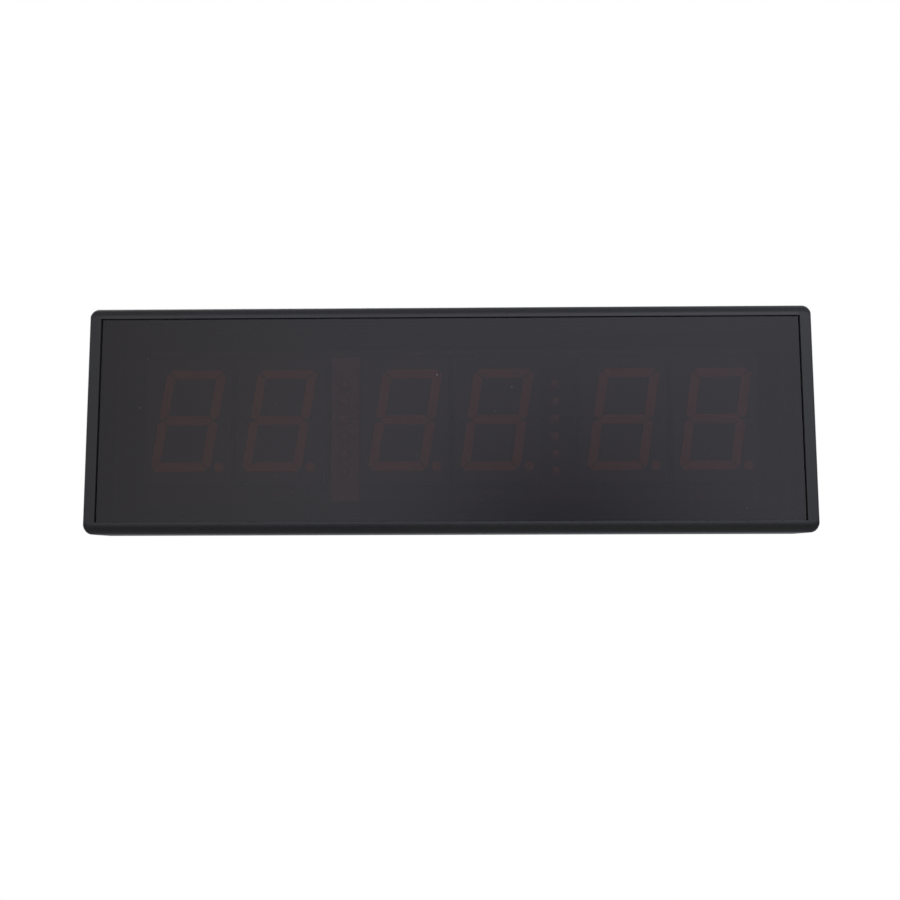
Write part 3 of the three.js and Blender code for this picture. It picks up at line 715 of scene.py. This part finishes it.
def digit_outlines():
    """The seven bars and the dot of one digit in (x, z), each with softened corners."""
    w, h, t = DIGIT["half_width"], DIGIT["half_height"], DIGIT["stroke"]
    k, c = DIGIT["gap"], DIGIT["chamfer"]
    iw, ih, half = w - t, h - t, t / 2
    tip = half - 1
    top = [
        (-w + c, h),
        (-w + (c + k) / 2, h - (c - k) / 2),
        (-iw + k, ih),
        (iw - k, ih),
        (w - (c + k) / 2, h - (c - k) / 2),
        (w - c, h),
    ]
    upright = [
        (w, h - c),
        (w - (c - k) / 2, h - (c + k) / 2),
        (iw, ih - k),
        (iw, half + k),
        (w - half, k),
        (w, tip + k),
    ]
    middle = [
        (-w + half + k, 0),
        (-iw + k, -half),
        (iw - k, -half),
        (w - half - k, 0),
        (iw - k, half),
        (-iw + k, half),
    ]

    def mirrored(points, sx, sz):
        turned_over = [(sx * x, sz * z) for x, z in points]
        return turned_over[::-1] if sx * sz < 0 else turned_over

    bars = [top, mirrored(top, 1, -1), middle]
    bars += [mirrored(upright, sx, sz) for sx in (1, -1) for sz in (1, -1)]
    shapes = []
    for bar in bars:
        leaning = [(x + z * DIGIT["slant"], z, DIGIT["corner"]) for x, z in bar]
        shape = rounded(leaning, 3)
        area = sum(a[0] * b[1] - b[0] * a[1] for a, b in zip(shape, shape[1:] + shape[:1]))
        shapes.append(shape if area > 0 else shape[::-1])
    x, z, radius = DIGIT["dot"]
    shapes.append(circle(x, z, radius, 28))
    return shapes


def digit(number):
    """A module: its printed face with eight shallow windows, and the resin that fills them."""
    housing = f"digit_housing_{number}"
    low, high = cad_box(housing)
    face, rear, recess, play, print_depth = low.y, high.y, 0.30, 0.05, 1.2
    middle = cad_centre(housing).x
    shapes = [[(x + middle, z + MIDDLE) for x, z in shape] for shape in digit_outlines()]
    outer = rounded_box(low.x, low.z, high.x, high.z, 0.7)
    bm = bmesh.new()
    loops = [ring_of(offset(outer, -inset), face + depth) for depth, inset in quarter(0.4)]
    rings = skin(bm, loops + [ring_of(outer, face + print_depth)], caps=False)
    walls = [ring_of(outer, face + print_depth), ring_of(outer, rear)]
    sides = skin(bm, walls, caps=False, material=1)
    bm.faces.new(sides[-1]).material_index = 1
    mouths = [rings[0]]
    for shape in shapes:
        window = offset(shape, play)
        wall = skin(bm, [ring_of(window, face), ring_of(window, face + recess)], caps=False)
        bm.faces.new(wall[-1])
        mouths.append(wall[0])
    fill_between(bm, mouths)
    finish_mesh(f"{housing}_shell", bm, ["grey_housing", "housing_side"], replaces=[housing])

    segments = f"digit_segments_{number}"
    bm = bmesh.new()
    for shape in shapes:
        skin(bm, [
            ring_of(shape, face + recess - 0.02),
            ring_of(shape, face + 0.10),
            ring_of(offset(shape, -0.07), face + 0.04),
            ring_of(offset(shape, -0.16), face + 0.02),
        ])
    finish_mesh(f"{segments}_fill", bm, ["diffuser_resin"], replaces=[segments], smooth=50.0)


def separator(side):
    """Six round LEDs with collars and domes on their own narrow board."""
    node = f"separator_leds_{side}"
    low, high = cad_box(node)
    middle, board = (low + high) / 2, high.y
    count, pitch, radius, collar, strip, reach = 6, 9.8, 2.5, 0.35, 1.2, 6.0
    bm = bmesh.new()
    pad(bm, rounded_box(low.x, low.z, high.x, high.z, 0.6), board - strip, board, 0.1)
    for i in range(count):
        z = middle.z + (i - (count - 1) / 2) * pitch
        profile = [(radius + collar, board - strip - 0.02), (radius + collar, board - strip - 1.0)]
        profile += [(radius, board - strip - 1.15)]
        profile += arc((0, board - reach), (radius, -radius), 0, 90, 9)
        turned(bm, profile, middle.x, z, 28, material=1)
    # The left strip's bright board against the right strip's dark one is painted light and shade: painted
    # warm light over the left half of the display, painted shade over the right half.
    strip_painted_light_and_shade = "separator_board" if side == "left" else "phenolic_board"
    finish_mesh(f"{node}_row", bm, [strip_painted_light_and_shade, "led_lens"], replaces=[node])


def receiver():
    """Infrared receiver: a small block with a round eye, on the display board's lower margin."""
    low, high = cad_box("ir_receiver")
    middle = (low + high) / 2
    body, eye, eye_lift = high.y - 3.6, 2.2, 0.6
    bm = bmesh.new()
    pad(bm, rounded_box(low.x, low.z, high.x, high.z, 0.7), body, high.y, 0.3)
    turned(bm, arc((0, body + 0.2), (eye, -eye), 0, 90, 10), middle.x, middle.z + eye_lift, 32)
    materials = ["receiver_epoxy"]
    finish_mesh("ir_receiver_body", bm, materials, replaces=["ir_receiver"])


def resistor_networks():
    """Flat resistor networks on the display board's margins, above and below the modules."""
    board = cad_box("display_board")[0].y
    half_tall, thick, lift = 1.3, 4.95, 0.05
    below, above = 23.0, 102.0
    places = [(24.0, below, 12.5), (-93.0, below, 12.5), (-22.0, above, 20.0), (6.0, above, 15.0)]
    bm = bmesh.new()
    for x, z, length in places:
        block = rounded_box(x - length / 2, z - half_tall, x + length / 2, z + half_tall, 0.5)
        pad(bm, block, board - lift - thick, board - lift, 0.4)
    finish_mesh("resistor_networks", bm, ["network_body"])


# ---------------------------------------------------------------- screws


def screw_head(node, axis, centre, radius):
    """A countersunk head with a cross recess, in mesh rings."""
    rings, sides = 22, 72
    deep, half_blade, reach = 1.15, 0.42, 0.62 * radius
    rim_from, rim_drop = 0.86, 0.10
    shank, neck, end = 0.42, -1.75, -6.5

    def depth(x, y):
        r = math.hypot(x, y)
        arm = min(abs(x), abs(y))
        blade = half_blade * (1 - 0.35 * r / reach)
        side = 1 / (1 + math.exp((arm - blade) * 14))
        along = 1 / (1 + math.exp((r - reach) * 9))
        slope = 1 - 0.45 * r / reach if r < reach else 0.55
        rim = rim_drop * max(0.0, r / radius - rim_from) / (1 - rim_from)
        return deep * side * along * slope + rim

    loops = []
    for i in range(rings + 1):
        r = radius * (i / rings) ** 0.9 if i else 0.02
        flat = [(r * math.cos(t), r * math.sin(t)) for t in around(sides)]
        loops.append([(x, y, -depth(x, y)) for x, y in flat])
    loops.append([(x * shank, y * shank, neck) for x, y, _ in loops[-1]])
    loops.append([(x, y, end) for x, y, _ in loops[-1]])
    bm = bmesh.new()
    skin(bm, loops)
    turn = Vector((0, 0, 1)).rotation_difference(Vector(axis)).to_matrix().to_4x4()
    bm.transform(Matrix.Translation(centre) @ turn)
    finish_mesh(f"{node}_head", bm, ["black_screw"], replaces=[node], smooth=50.0)


def screws():
    """Two screws in each end cap, and four in the back panel."""
    heads = []
    for side, sign in (("right", 1), ("left", -1)):
        heads += [(f"{side}_cap_screw_{level}", (sign, 0, 0)) for level in ("lower", "upper")]
    heads += [(f"panel_screw_{number}", (0, 1, 0)) for number in range(1, 5)]
    for node, axis in heads:
        low, high = cad_box(node)
        centre = (low + high) / 2
        if axis[1]:
            centre.y = high.y
        else:
            centre.x = (high if axis[0] > 0 else low).x
        screw_head(node, axis, centre, (high.z - low.z) / 2)


# ---------------------------------------------------------------- back


def keyhole(x, z):
    """A keyhole's outline: a round entry with a narrow neck above it."""
    entry, entry_z, half, top = 4.5, -4.0, 2.2, 5.0
    meets = math.degrees(math.asin(half / entry))
    shape = arc((x, z + top - half), (half, half), 0, 180, 16)
    return shape + arc((x, z + entry_z), (entry, entry), 90 + meets, 450 - meets, 40)


def hanger(side):
    """A zinc-plated plate with rounded edges, its keyhole, and four spot welds."""
    node = f"hanger_{side}"
    low, high = cad_box(node)
    middle, rear = (low + high) / 2, high.y
    weld_x, weld_z = 16.5, 7.5
    weld = [(1.6, rear + 0.005), (1.45, rear + 0.035), (1.1, rear + 0.035), (0.8, rear + 0.012)]
    plate = rounded_box(low.x, low.z, high.x, high.z, 2.0, 8)
    bm = bmesh.new()
    slab(bm, plate, [keyhole(middle.x, middle.z)], low.y, rear, 0.28)
    for sx in (-1, 1):
        for sz in (-1, 1):
            turned(bm, weld, middle.x + sx * weld_x, middle.z + sz * weld_z, 28)
    finish_mesh(f"{node}_plate", bm, ["zinc_steel"], replaces=[node])


def panel():
    """The back panel, with rounded edges at every hole."""
    low, high = cad_box("back_panel")

    def box_hole(node, half_width, half_height, corner):
        at = cad_centre(node)
        left, right = at.x - half_width, at.x + half_width
        return rounded_box(left, at.z - half_height, right, at.z + half_height, corner)

    def round_hole(node, radius, steps, across=0.0, up=0.0):
        at = cad_centre(node)
        return circle(at.x + across, at.z + up, radius, steps)

    holes = [box_hole(f"hanger_{side}", 9, 9.5, 1.0) for side in ("left", "right")]
    holes += [round_hole(f"set_key_{number}", 2.8, 32) for number in (1, 2, 3)]
    holes.append(box_hole("power_switch_body", 3.6, 2.0, 0.5))
    holes.append(round_hole("dc_jack", 4.15, 40))
    vent, vent_ring = 1.1, 5
    holes.append(round_hole("sounder", vent, 20))
    for t in around(6):
        holes.append(round_hole("sounder", vent, 20, vent_ring * math.cos(t), vent_ring * math.sin(t)))
    holes += [round_hole(f"panel_screw_{number}", 2.9, 36) for number in range(1, 5)]
    bm = bmesh.new()
    slab(bm, rounded_box(low.x, low.z, high.x, high.z, 0.5), holes, low.y, high.y, 0.14)
    finish_mesh("back_panel_sheet", bm, ["panel_sheet"], replaces=["back_panel"])


BARREL = 3.95  # the jack's threaded radius
JACK_DEPTH = 9.0


def jack_barrel():
    """The power jack: a collared body, then a threaded barrel with a rounded mouth."""
    low, high = cad_box("dc_jack")
    middle, mouth, floor_y = (low + high) / 2, high.y, high.y - JACK_DEPTH
    body, shoulder, bore, root = 5.2, 14.65, 2.95, BARREL - 0.24
    turns, pitch = 6, 0.5
    profile = [(body - 0.3, low.y), (body, low.y + 0.3), (body, shoulder - 0.3)]
    profile += [(body - 0.3, shoulder), (BARREL - 0.2, shoulder)]
    start = mouth - 0.35 - turns * pitch
    for k in range(turns):
        y = start + k * pitch
        profile += [(root, y), (BARREL, y + 0.2), (BARREL, y + 0.28)]
    profile += [(root, mouth - 0.3), (BARREL - 0.5, mouth - 0.05), (BARREL - 0.7, mouth)]
    profile += [(bore + 0.2, mouth), (bore, mouth - 0.2)]
    profile += [(bore, floor_y + 0.2), (bore - 0.2, floor_y)]
    bm = bmesh.new()
    turned(bm, profile, middle.x, middle.z, 56)
    finish_mesh("dc_jack_barrel", bm, ["black_component"], replaces=["dc_jack"])


def jack_pin():
    """The jack's contact pin, with a rounded tip."""
    at = cad_centre("dc_jack")
    floor_y = cad_box("dc_jack")[1].y - JACK_DEPTH
    low, high = cad_box("dc_jack_pin")
    radius, nose = (high.z - low.z) / 2, 0.9
    profile = [(radius, floor_y - 0.2), (radius, high.y - nose)]
    profile += arc((0, high.y - nose), (radius, nose), 10, 90, 8)
    bm = bmesh.new()
    turned(bm, profile, at.x, at.z, 24)
    finish_mesh("dc_jack_pin_tip", bm, ["nickel"], replaces=["dc_jack_pin"])


def jack_nut():
    """A hexagonal nut whose corners are cut back where the flats meet its two faces."""
    at = cad_centre("dc_jack")
    low, high = cad_box("dc_jack_nut")
    flats, sides, uncut = 5.0, 96, 9.0
    sixth = math.pi / 3

    def hexagon(y, most):
        points = []
        for t in around(sides):
            fold = (t + sixth / 2) % sixth - sixth / 2
            r = min(flats / math.cos(fold), most)
            points.append((at.x + r * math.cos(t), y, at.z + r * math.sin(t)))
        return points

    def bored(y, r):
        return [(at.x + r * math.cos(t), y, at.z + r * math.sin(t)) for t in around(sides)]

    bm = bmesh.new()
    skin(bm, [
        bored(low.y, BARREL + 0.15),
        hexagon(low.y, 5.35),
        hexagon(low.y + 0.12, uncut),
        hexagon(high.y - 0.35, uncut),
        hexagon(high.y - 0.12, 5.4),
        hexagon(high.y, 5.05),
        bored(high.y, BARREL + 0.45),
        bored(high.y - 0.3, BARREL + 0.15),
        bored(low.y, BARREL + 0.15),
    ], caps=False)
    finish_mesh("dc_jack_nut_hex", bm, ["nickel"], replaces=["dc_jack_nut"], smooth=25.0)


def set_key(number):
    """A round key with a softly rounded rim, a shallow dish for the fingertip and its flange."""
    node = f"set_key_{number}"
    low, high = cad_box(node)
    middle, crown = (low + high) / 2, high.y
    stem, flange, flange_y, radius, rim = 1.7, 3.5, 14.25, 2.5, 0.45
    dish, dish_depth = 2.05, 0.16
    profile = [(stem, low.y), (stem, flange_y - 1.2), (flange - 0.1, flange_y - 1.2)]
    profile += [(flange, flange_y - 1.1), (flange, flange_y - 0.1), (flange - 0.1, flange_y)]
    profile += [(radius, flange_y), (radius, crown - rim)]
    profile += arc((radius - rim, crown - rim), (rim, rim), 15, 90, 5)
    profile += [(r, crown - dish_depth * (1 - (r / dish) ** 2)) for r in (1.8, 1.4, 1.0, 0.6, 0.2)]
    bm = bmesh.new()
    turned(bm, profile, middle.x, middle.z, 48)
    finish_mesh(f"{node}_cap", bm, ["key_plastic"], body=f"key_{number}", replaces=[node])


def knob():
    """The slide switch's knob, with rounded grip ridges across its top."""
    node = "power_switch_knob"
    low, high = cad_box(node)
    middle = (low + high) / 2
    length, top = high.x - low.x, high.y
    steps, ridges, groove, fall = 48, 4, 0.42, 0.45
    outline = [(low.x, low.y), (high.x, low.y)]
    for k in range(steps + 1):
        x = high.x - length * k / steps
        phase = (x - low.x) / length
        wave = 0.5 - 0.5 * math.cos(2 * math.pi * ridges * phase)
        deep = groove if 0.1 < phase < 0.9 else 0.4 * groove
        outline.append((x, top - deep * (1 - wave) - fall * abs(2 * phase - 1) ** 8))
    soft, narrowing = 0.3, 1.6
    near = [(low.z, 0.9 * soft), (low.z + 0.12, 0.35 * soft), (low.z + soft, 0.0)]
    far = [(high.z - soft, 0.0), (high.z - 0.12, 0.35 * soft), (high.z, 0.9 * soft)]
    loops = []
    for z, inset in near + far:
        narrow = 1 - inset / narrowing
        loops.append([
            (middle.x + (x - middle.x) * narrow, y - (inset if y > top - 1 else 0.0), z)
            for x, y in outline
        ])
    bm = bmesh.new()
    skin(bm, loops)
    finish_mesh(f"{node}_grip", bm, ["knob_plastic"], body="power_knob", replaces=[node])


# ---------------------------------------------------------------- CAD pieces that stay


def refine(node, width):
    """Breaks a CAD piece's sharp edges without touching its mesh."""
    piece = NODES[node]
    weld = piece.modifiers.new("weld", "WELD")
    weld.merge_threshold = 1e-6
    flat = piece.modifiers.new("flat", "DECIMATE")
    flat.decimate_type = "DISSOLVE"
    flat.angle_limit = math.radians(1.0)
    bevel = piece.modifiers.new("edges", "BEVEL")
    bevel.width = width * MM
    bevel.segments = 2
    bevel.limit_method = "ANGLE"
    bevel.angle_limit = math.radians(35.0)
    bevel.use_clamp_overlap = True
    bevel.harden_normals = False
    flatten(piece)


for node, piece in NODES.items():
    piece.data.materials.clear()
    piece.data.materials.append(MATERIALS[SLOTS[node]])

rail("bottom_rail", False)
rail("top_rail", True)
end_cap("right_end_cap", 1)
end_cap("left_end_cap", -1)
lens()
dust(16)
for number in range(1, 7):
    digit(number)
separator("left")
separator("right")
receiver()
resistor_networks()
screws()
hanger("left")
hanger("right")
panel()
jack_barrel()
jack_pin()
jack_nut()
for number in (1, 2, 3):
    set_key(number)
knob()
for node in (
    "microcontroller",
    "led_driver_1",
    "led_driver_2",
    "power_socket",
    "sounder_socket",
    "board_header_lower",
    "board_header_upper",
    "clock_cell_holder",
    "sounder",
    "power_switch_body",
    "display_board",
    "control_board",
):
    refine(node, 0.15)
for number in (1, 2, 3):
    refine(f"key_switch_{number}", 0.15)
for number in range(1, 5):
    refine(f"standoff_{number}", 0.2)
refine("clock_cell", 0.3)

# ---------------------------------------------------------------- stage, light and camera


def floor():
    """A pale floor under the timer, which lets light up past it and hides nothing from beneath."""
    bm = bmesh.new()
    bmesh.ops.create_circle(bm, cap_ends=True, radius=8.0, segments=96)
    mesh = bpy.data.meshes.new("floor")
    bm.to_mesh(mesh)
    bm.free()
    m = Nodes("pale_floor", Roughness=0.7)
    m.color(m.mix(m.noise(3.0, detail=3.0), rgb(0.80, 0.80, 0.80), rgb(0.84, 0.84, 0.84)))
    beneath = m.add("ShaderNodeNewGeometry").outputs["Backfacing"]
    clear = m.add("ShaderNodeBsdfTransparent")
    m.choose(beneath, m.shader, clear, m.tree.nodes["Material Output"])
    mesh.materials.append(m.material)
    piece = bpy.data.objects.new("floor", mesh)
    piece.location.z = -0.05 * MM
    for ray in ("diffuse", "glossy", "transmission", "shadow"):
        setattr(piece, f"visible_{ray}", False)
    bpy.context.scene.collection.objects.link(piece)


# Room brightness by height, as (direction's Z, level): in front of the timer, and behind it.
ROOM_FRONT = [(-1, 0.20), (-0.5, 0.18), (-0.2, 0.28), (-0.08, 0.64), (0.03, 1.03), (0.24, 1.04)]
ROOM_FRONT += [(0.29, 1.25), (0.36, 1.55), (0.46, 0.50), (0.7, 0.36), (1, 0.42)]
ROOM_BACK = [(-1, 0.20), (-0.3, 0.24), (-0.05, 0.45), (0.05, 0.9), (0.5, 0.8), (1, 0.42)]
# Its change across the front, by the direction's X: a level, a slope, a bend and the least it falls to.
ACROSS = {"level": 1.15, "slope": 0.545, "bend": -1.88, "least": 0.55}
# A darker and a brighter patch of the front, as places and widths in X and in Z.
DIM_PATCH, DIM = (0.10, 0.14, -0.04, 0.18), 0.80
GLOW_PATCH, GLOW = (0.30, 0.16, 0.38, 0.09), 1.5
DARKEST = 0.05


def surroundings():
    """White to the camera. The light that falls on the timer is a soft room, brighter to the right."""
    world = bpy.data.worlds.new("studio")
    world.use_nodes = True
    world.node_tree.nodes.clear()
    g = Graph(world.node_tree)
    split = g.add("ShaderNodeSeparateXYZ")
    g.put(g.add("ShaderNodeTexCoord").outputs["Generated"], split.inputs[0])
    x, y, z = split.outputs

    def patch(place, strength):
        return g.math("MULTIPLY", g.hump(x, *place[:2], z, *place[2:]), strength)

    bent = g.math("MULTIPLY_ADD", x, ACROSS["bend"], ACROSS["slope"])
    across = g.math("MAXIMUM", g.math("MULTIPLY_ADD", bent, x, ACROSS["level"]), ACROSS["least"])
    ahead = g.math("MULTIPLY", g.ramp(z, ROOM_FRONT), across)
    ahead = g.math("ADD", g.math("SUBTRACT", ahead, patch(DIM_PATCH, DIM)), patch(GLOW_PATCH, GLOW))
    behind = g.remap(y, -0.2, 0.25, 0.0, 1.0, "SMOOTHSTEP")
    ahead = g.math("MULTIPLY", ahead, g.math("SUBTRACT", 1.0, behind))
    level = g.math("MULTIPLY_ADD", g.ramp(z, ROOM_BACK), behind, ahead)
    room = g.add("ShaderNodeBackground")
    tint = g.mix(g.remap(x, -0.3, 0.05, 0.0, 1.0), rgb(1.0, 1.0, 1.08), rgb(0.975, 1.0, 1.16))
    g.put(tint, room.inputs["Color"])
    g.put(g.math("MAXIMUM", level, DARKEST), room.inputs["Strength"])
    white = g.add("ShaderNodeBackground")
    g.put(rgb(1.0, 1.0, 1.0), white.inputs["Color"])
    seen = g.math("LESS_THAN", g.add("ShaderNodeLightPath").outputs["Ray Depth"], 1.5)
    g.choose(seen, room, white, g.add("ShaderNodeOutputWorld"))
    bpy.context.scene.world = world


def softbox(name, location, target, size, power):
    light = bpy.data.lights.new(name, "AREA")
    light.shape = "RECTANGLE"
    light.size, light.size_y = size
    light.energy = power
    lamp = bpy.data.objects.new(name, light)
    lamp.location = location
    lamp.rotation_euler = (Vector(target) - Vector(location)).to_track_quat("-Z", "Y").to_euler()
    bpy.context.scene.collection.objects.link(lamp)


def camera():
    """A 40 mm lens on a 36 mm sensor, 0.54 m in front, a little below the case and tipped up."""
    data = bpy.data.cameras.new("camera")
    data.sensor_width = 36.0
    data.lens = 40.0
    eye = bpy.data.objects.new("camera", data)
    place = Vector((7.44, -560.88, -14.21))
    pitch, yaw, roll = (math.radians(a) for a in (6.264, -0.745, -0.158))
    flat = math.cos(pitch)
    forward = Vector((math.sin(yaw) * flat, math.cos(yaw) * flat, math.sin(pitch)))
    level = Vector((math.cos(yaw), -math.sin(yaw), 0.0))
    upright = level.cross(forward)
    right = level * math.cos(roll) + upright * math.sin(roll)
    up = upright * math.cos(roll) - level * math.sin(roll)
    turn = Matrix((right, up, -forward)).transposed().to_4x4()
    eye.matrix_world = Matrix.Translation(place * MM) @ turn
    bpy.context.scene.collection.objects.link(eye)
    bpy.context.scene.camera = eye


floor()
surroundings()
softbox("rear_light", (-0.6, 1.3, 1.1), (0, 0, 0.06), (1.4, 1.0), 6.0)
camera()
bpy.context.scene.view_settings.view_transform = "Standard"
